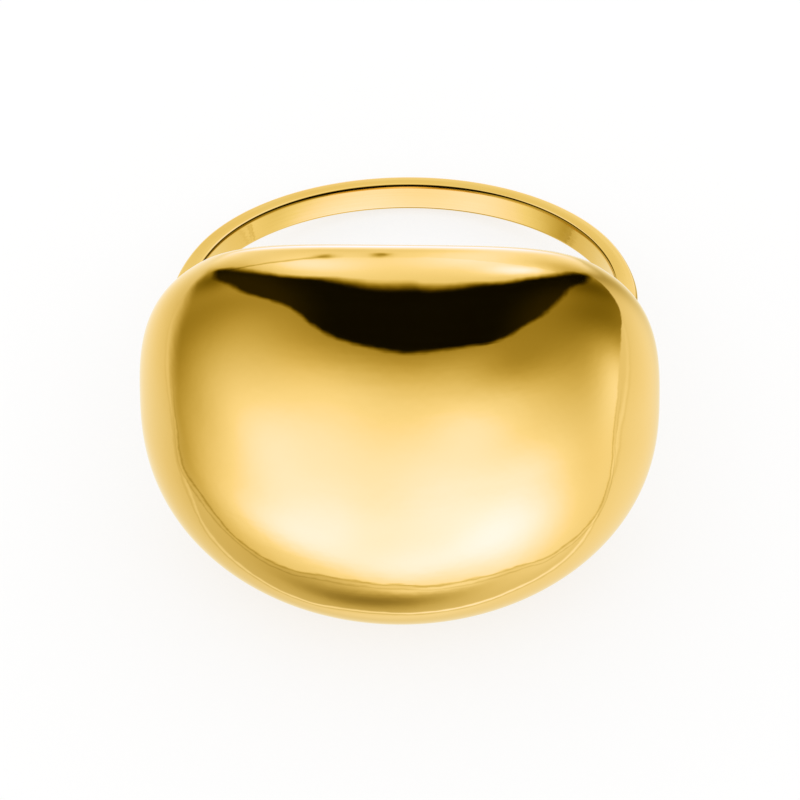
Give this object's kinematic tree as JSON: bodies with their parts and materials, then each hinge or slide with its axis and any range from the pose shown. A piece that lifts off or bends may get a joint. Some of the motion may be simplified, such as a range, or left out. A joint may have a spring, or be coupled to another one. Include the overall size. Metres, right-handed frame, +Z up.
{
  "type": "domed finger ring",
  "caption": "Polished domed finger ring: a thin flat band that carries a large cushion-shaped head, lying on its side.",
  "frame": {"origin": "on the surface that the ring rests on, under the middle of its bounding box", "axes": "+Z up, the head faces -Y, and the finger hole's axis leans back 22.2 degrees from +Z towards +Y"},
  "size_m": [0.021, 0.024, 0.0161],
  "materials": {
    "gold_plate": "mirror-polished yellow gold plating"
  },
  "bodies": {
    "root": {"ring": "gold_plate"}
  },
  "joints": []
}
